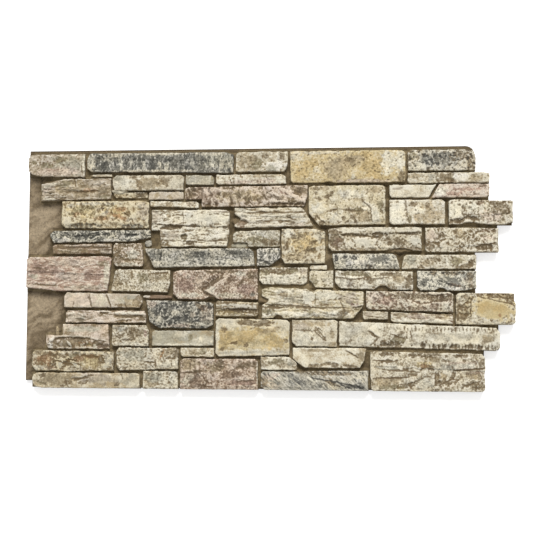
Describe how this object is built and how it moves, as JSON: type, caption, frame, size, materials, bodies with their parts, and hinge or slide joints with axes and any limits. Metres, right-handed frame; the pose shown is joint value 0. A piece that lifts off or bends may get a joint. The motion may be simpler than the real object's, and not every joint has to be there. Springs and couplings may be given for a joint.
{
  "type": "faux stone wall panel",
  "caption": "Moulded rigid foam cladding panel with a dry-laid ledgestone face, stepped tabs at one end and along the foot, and a lapping flange at the other end and along the head.",
  "frame": {"origin": "middle of the panel's overall outline, on its flat back", "axes": "+X along the courses towards the tabs, +Y up the wall towards the top flange, +Z out of the stone face"},
  "size_m": [1.245, 0.616, 0.0319],
  "materials": {
    "stone_panel": "matt painted moulded polyurethane foam: taupe mortar with cream, buff, gold, rose, umber and slate grey stones"
  },
  "bodies": {
    "root": {"stone_panel": "stone_panel"}
  },
  "joints": []
}
